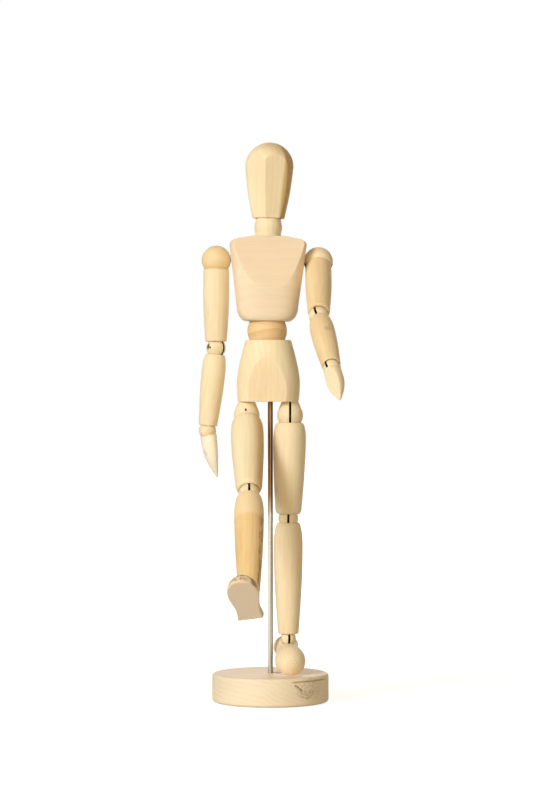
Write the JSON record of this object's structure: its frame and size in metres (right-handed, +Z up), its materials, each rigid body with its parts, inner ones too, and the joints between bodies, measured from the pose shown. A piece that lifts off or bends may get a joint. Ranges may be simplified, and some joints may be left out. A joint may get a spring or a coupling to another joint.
{
  "type": "wooden lay figure",
  "caption": "Jointed wooden artist's lay figure posed in a walking stride, held by a steel rod on a round wooden base.",
  "frame": {"origin": "centre of the base's underside", "axes": "+Z up along the rod, -Y the way the figure faces, +X the figure's left"},
  "size_m": [0.0841, 0.1435, 0.3317],
  "materials": {
    "limb_wood": "fine-sanded pale beech, satin",
    "base_wood": "fine-sanded pale beech, satin",
    "rod_steel": "bright drawn",
    "pin_steel": "dull",
    "spring_steel": "plain wire"
  },
  "bodies": {
    "base": {"base_disc": "base_wood", "support_rod": "rod_steel"},
    "pelvis": {"pelvis": "limb_wood", "pelvis_pin": "pin_steel", "left_hip_spring": "spring_steel", "right_hip_spring": "spring_steel"},
    "waist": {"waist_ball": "limb_wood"},
    "chest": {"chest": "limb_wood", "spine_spring": "spring_steel", "shoulder_spring": "spring_steel"},
    "neck": {"neck_barrel": "limb_wood"},
    "head": {"head": "limb_wood"},
    "left_shoulder": {"left_shoulder_ball": "limb_wood", "left_shoulder_pin": "pin_steel"},
    "left_elbow": {"left_elbow_ball": "limb_wood", "left_elbow_pin": "pin_steel"},
    "left_wrist": {"left_wrist_ball": "limb_wood", "left_wrist_pin": "pin_steel"},
    "left_hip": {"left_hip_ball": "limb_wood", "left_hip_pin": "pin_steel"},
    "left_knee": {"left_knee_ball": "limb_wood", "left_knee_pin": "pin_steel"},
    "left_ankle": {"left_ankle_ball": "limb_wood", "left_ankle_pin": "pin_steel"},
    "left_upper_arm": {"left_upper_arm": "limb_wood", "left_upper_arm_spring": "spring_steel"},
    "left_forearm": {"left_forearm": "limb_wood", "left_forearm_spring": "spring_steel"},
    "left_hand": {"left_hand": "limb_wood", "left_hand_hook": "spring_steel"},
    "left_thigh": {"left_thigh": "limb_wood", "left_thigh_spring": "spring_steel"},
    "left_shin": {"left_shin": "limb_wood", "left_shin_spring": "spring_steel"},
    "left_foot": {"left_foot": "limb_wood", "left_foot_hook": "spring_steel"},
    "right_shoulder": {"right_shoulder_ball": "limb_wood", "right_shoulder_pin": "pin_steel"},
    "right_elbow": {"right_elbow_ball": "limb_wood", "right_elbow_pin": "pin_steel"},
    "right_wrist": {"right_wrist_ball": "limb_wood", "right_wrist_pin": "pin_steel"},
    "right_hip": {"right_hip_ball": "limb_wood", "right_hip_pin": "pin_steel"},
    "right_knee": {"right_knee_ball": "limb_wood", "right_knee_pin": "pin_steel"},
    "right_ankle": {"right_ankle_ball": "limb_wood", "right_ankle_pin": "pin_steel"},
    "right_upper_arm": {"right_upper_arm": "limb_wood", "right_upper_arm_spring": "spring_steel"},
    "right_forearm": {"right_forearm": "limb_wood", "right_forearm_spring": "spring_steel"},
    "right_hand": {"right_hand": "limb_wood", "right_hand_hook": "spring_steel"},
    "right_thigh": {"right_thigh": "limb_wood", "right_thigh_spring": "spring_steel"},
    "right_shin": {"right_shin": "limb_wood", "right_shin_spring": "spring_steel"},
    "right_foot": {"right_foot": "limb_wood", "right_foot_hook": "spring_steel"}
  },
  "joints": [
    {"name": "pelvis_turn", "type": "hinge", "parent": "base", "child": "pelvis", "pos_m": [0, 0, 0.17777], "axis": [0, 0, 1], "continuous": true},
    {"name": "waist_bend", "type": "hinge", "parent": "pelvis", "child": "waist", "pos_m": [-0.00189, 0.00013, 0.21997], "axis": [0.9976, -0.0698, 0], "range_deg": [-15, 20], "deforming": ["spine_spring"]},
    {"name": "chest_turn", "type": "hinge", "parent": "waist", "child": "chest", "pos_m": [-0.00189, 0.00013, 0.21997], "axis": [0, 0, 1], "range_deg": [-45, 40], "deforming": ["spine_spring"]},
    {"name": "neck_nod", "type": "hinge", "parent": "chest", "child": "neck", "pos_m": [-0.00129, 0.00017, 0.27822], "axis": [0.9975, 0.0698, -0.0105], "range_deg": [-12, 12], "deforming": ["spine_spring"]},
    {"name": "head_turn", "type": "hinge", "parent": "neck", "child": "head", "pos_m": [-0.00122, 0.00018, 0.28452], "axis": [0.0104, 0.0007, 0.9999], "range_deg": [-80, 80], "deforming": ["spine_spring"]},
    {"name": "left_shoulder_swing", "type": "hinge", "parent": "chest", "child": "left_shoulder", "pos_m": [0.02862, 0.00678, 0.26135], "axis": [-0.9975, -0.0698, 0.0105], "range_deg": [-98, 62], "deforming": ["shoulder_spring"]},
    {"name": "left_arm_raise", "type": "hinge", "parent": "left_shoulder", "child": "left_upper_arm", "pos_m": [0.02862, 0.00678, 0.26135], "axis": [0.0534, -0.65, 0.7581], "range_deg": [0, 85]},
    {"name": "left_elbow_twist", "type": "hinge", "parent": "left_upper_arm", "child": "left_elbow", "pos_m": [0.02812, -0.03294, 0.22733], "axis": [0.0097, 0.7595, 0.6505], "range_deg": [-60, 60], "deforming": ["left_upper_arm_spring"]},
    {"name": "left_elbow_bend", "type": "hinge", "parent": "left_elbow", "child": "left_forearm", "pos_m": [0.02812, -0.03294, 0.22733], "axis": [-0.9036, 0.1616, -0.3966], "range_deg": [-25, 55]},
    {"name": "left_wrist_twist", "type": "hinge", "parent": "left_forearm", "child": "left_wrist", "pos_m": [0.03475, -0.07111, 0.19667], "axis": [0.1342, -0.7726, -0.6206], "range_deg": [-60, 60], "deforming": ["left_forearm_spring"]},
    {"name": "left_wrist_bend", "type": "hinge", "parent": "left_wrist", "child": "left_hand", "pos_m": [0.03475, -0.07111, 0.19667], "axis": [-0.71, 0.3619, -0.6041], "range_deg": [-40, 40]},
    {"name": "left_hip_turn", "type": "hinge", "parent": "pelvis", "child": "left_hip", "pos_m": [0.01167, -0.00082, 0.16967], "axis": [0, 0, 1], "range_deg": [-25, 20], "deforming": ["left_hip_spring"]},
    {"name": "left_hip_swing", "type": "hinge", "parent": "left_hip", "child": "left_thigh", "pos_m": [0.01167, -0.00082, 0.16967], "axis": [-1, 0, 0], "range_deg": [0, 60]},
    {"name": "left_knee_twist", "type": "hinge", "parent": "left_thigh", "child": "left_knee", "pos_m": [0.0106, -0.00082, 0.10858], "axis": [-0.0175, 0, -0.9998], "range_deg": [-25, 25], "deforming": ["left_thigh_spring"]},
    {"name": "left_knee_bend", "type": "hinge", "parent": "left_knee", "child": "left_shin", "pos_m": [0.0106, -0.00082, 0.10858], "axis": [-1, 0, 0], "range_deg": [0, 45]},
    {"name": "left_ankle_twist", "type": "hinge", "parent": "left_shin", "child": "left_ankle", "pos_m": [0.0106, -0.00082, 0.03768], "axis": [0, 0, 1], "range_deg": [-25, 20], "deforming": ["left_shin_spring"]},
    {"name": "left_ankle_bend", "type": "hinge", "parent": "left_ankle", "child": "left_foot", "pos_m": [0.0106, -0.00082, 0.03768], "axis": [-0.9903, -0.1392, 0], "range_deg": [0, 40]},
    {"name": "right_shoulder_swing", "type": "hinge", "parent": "chest", "child": "right_shoulder", "pos_m": [-0.03217, 0.00253, 0.26199], "axis": [-0.9975, -0.0698, 0.0105], "range_deg": [-50, 130], "deforming": ["shoulder_spring"]},
    {"name": "right_arm_raise", "type": "hinge", "parent": "right_shoulder", "child": "right_upper_arm", "pos_m": [-0.03217, 0.00253, 0.26199], "axis": [-0.0698, 0.9976, 0], "range_deg": [0, 85]},
    {"name": "right_elbow_twist", "type": "hinge", "parent": "right_upper_arm", "child": "right_elbow", "pos_m": [-0.03235, 0.00251, 0.20969], "axis": [0.0035, 0.0002, 1], "range_deg": [-60, 60], "deforming": ["right_upper_arm_spring"]},
    {"name": "right_elbow_bend", "type": "hinge", "parent": "right_elbow", "child": "right_forearm", "pos_m": [-0.03235, 0.00251, 0.20969], "axis": [-0.5856, -0.8089, 0.0527], "range_deg": [-30, 10]},
    {"name": "right_wrist_twist", "type": "hinge", "parent": "right_forearm", "child": "right_wrist", "pos_m": [-0.0375, 0.00304, 0.16056], "axis": [-0.1042, 0.0107, -0.9945], "range_deg": [-60, 60], "deforming": ["right_forearm_spring"]},
    {"name": "right_wrist_bend", "type": "hinge", "parent": "right_wrist", "child": "right_hand", "pos_m": [-0.0375, 0.00304, 0.16056], "axis": [-0.1052, -0.9944, 0.0003], "range_deg": [-50, 21]},
    {"name": "right_hip_turn", "type": "hinge", "parent": "pelvis", "child": "right_hip", "pos_m": [-0.01407, 0.00098, 0.16967], "axis": [0, 0, 1], "range_deg": [-30, 15], "deforming": ["right_hip_spring"]},
    {"name": "right_hip_swing", "type": "hinge", "parent": "right_hip", "child": "right_thigh", "pos_m": [-0.01407, 0.00098, 0.16967], "axis": [-0.9996, -0.0279, 0], "range_deg": [-63, 17]},
    {"name": "right_knee_twist", "type": "hinge", "parent": "right_thigh", "child": "right_knee", "pos_m": [-0.01237, -0.04065, 0.12499], "axis": [0.0278, -0.6815, -0.7313], "range_deg": [-30, 30], "deforming": ["right_thigh_spring"]},
    {"name": "right_knee_bend", "type": "hinge", "parent": "right_knee", "child": "right_shin", "pos_m": [-0.01237, -0.04065, 0.12499], "axis": [-0.9998, -0.0184, 0.0102], "range_deg": [-40, 30]},
    {"name": "right_ankle_twist", "type": "hinge", "parent": "right_shin", "child": "right_ankle", "pos_m": [-0.01212, -0.0848, 0.0695], "axis": [-0.0035, 0.6226, 0.7825], "range_deg": [-25, 25], "deforming": ["right_shin_spring"]},
    {"name": "right_ankle_bend", "type": "hinge", "parent": "right_ankle", "child": "right_foot", "pos_m": [-0.01212, -0.0848, 0.0695], "axis": [-0.9762, 0.1674, -0.1375], "range_deg": [-45, 14]}
  ]
}
